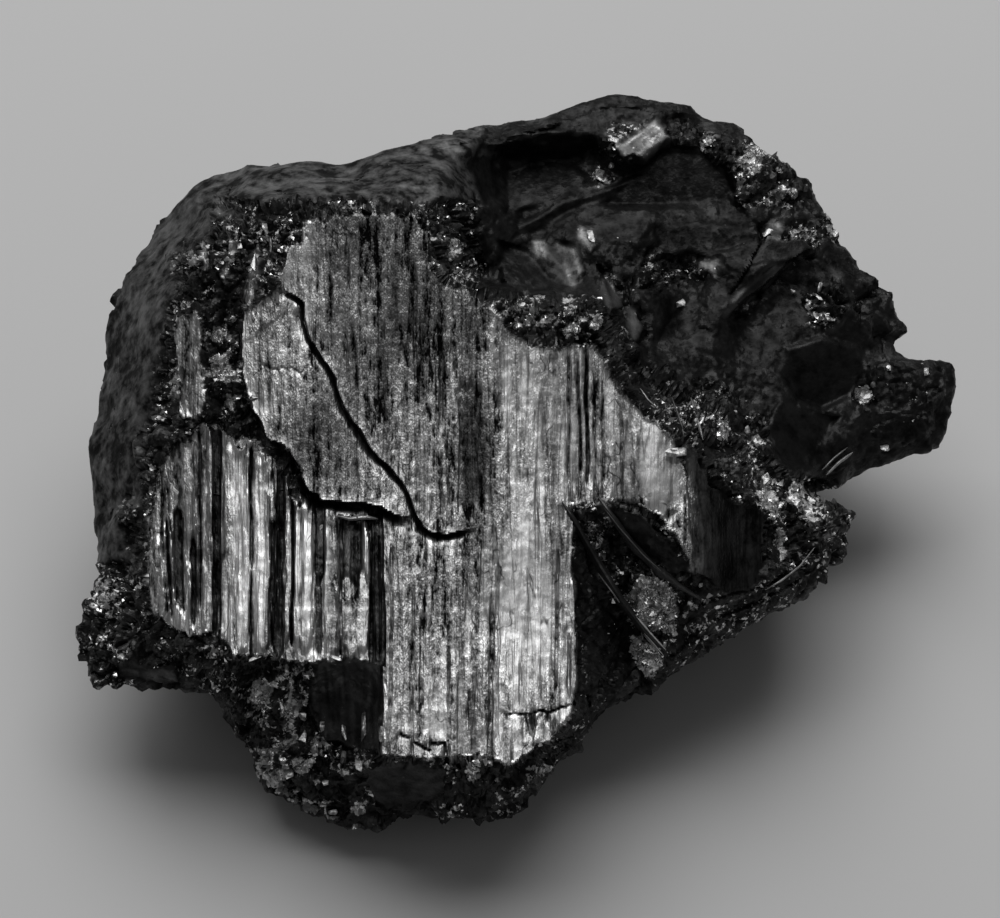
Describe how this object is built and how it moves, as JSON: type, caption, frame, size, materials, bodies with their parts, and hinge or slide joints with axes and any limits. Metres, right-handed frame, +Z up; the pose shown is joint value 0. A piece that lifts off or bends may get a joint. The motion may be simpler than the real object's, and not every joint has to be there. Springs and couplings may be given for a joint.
{
  "type": "graphite ore lump",
  "caption": "Free-standing lump of vein graphite: a striated metallic slab face, a broken hackly block behind it, granular edges and a flat foot to rest on.",
  "frame": {"origin": "middle of the lump's own box, at the height of its flat foot", "axes": "+Z up; the striated face slopes up from -Y toward +Y; +X to the right of someone who faces it"},
  "size_m": [0.0888, 0.0754, 0.0414],
  "materials": {
    "graphite": "satin"
  },
  "bodies": {
    "root": {"graphite_lump": "graphite"}
  },
  "joints": []
}
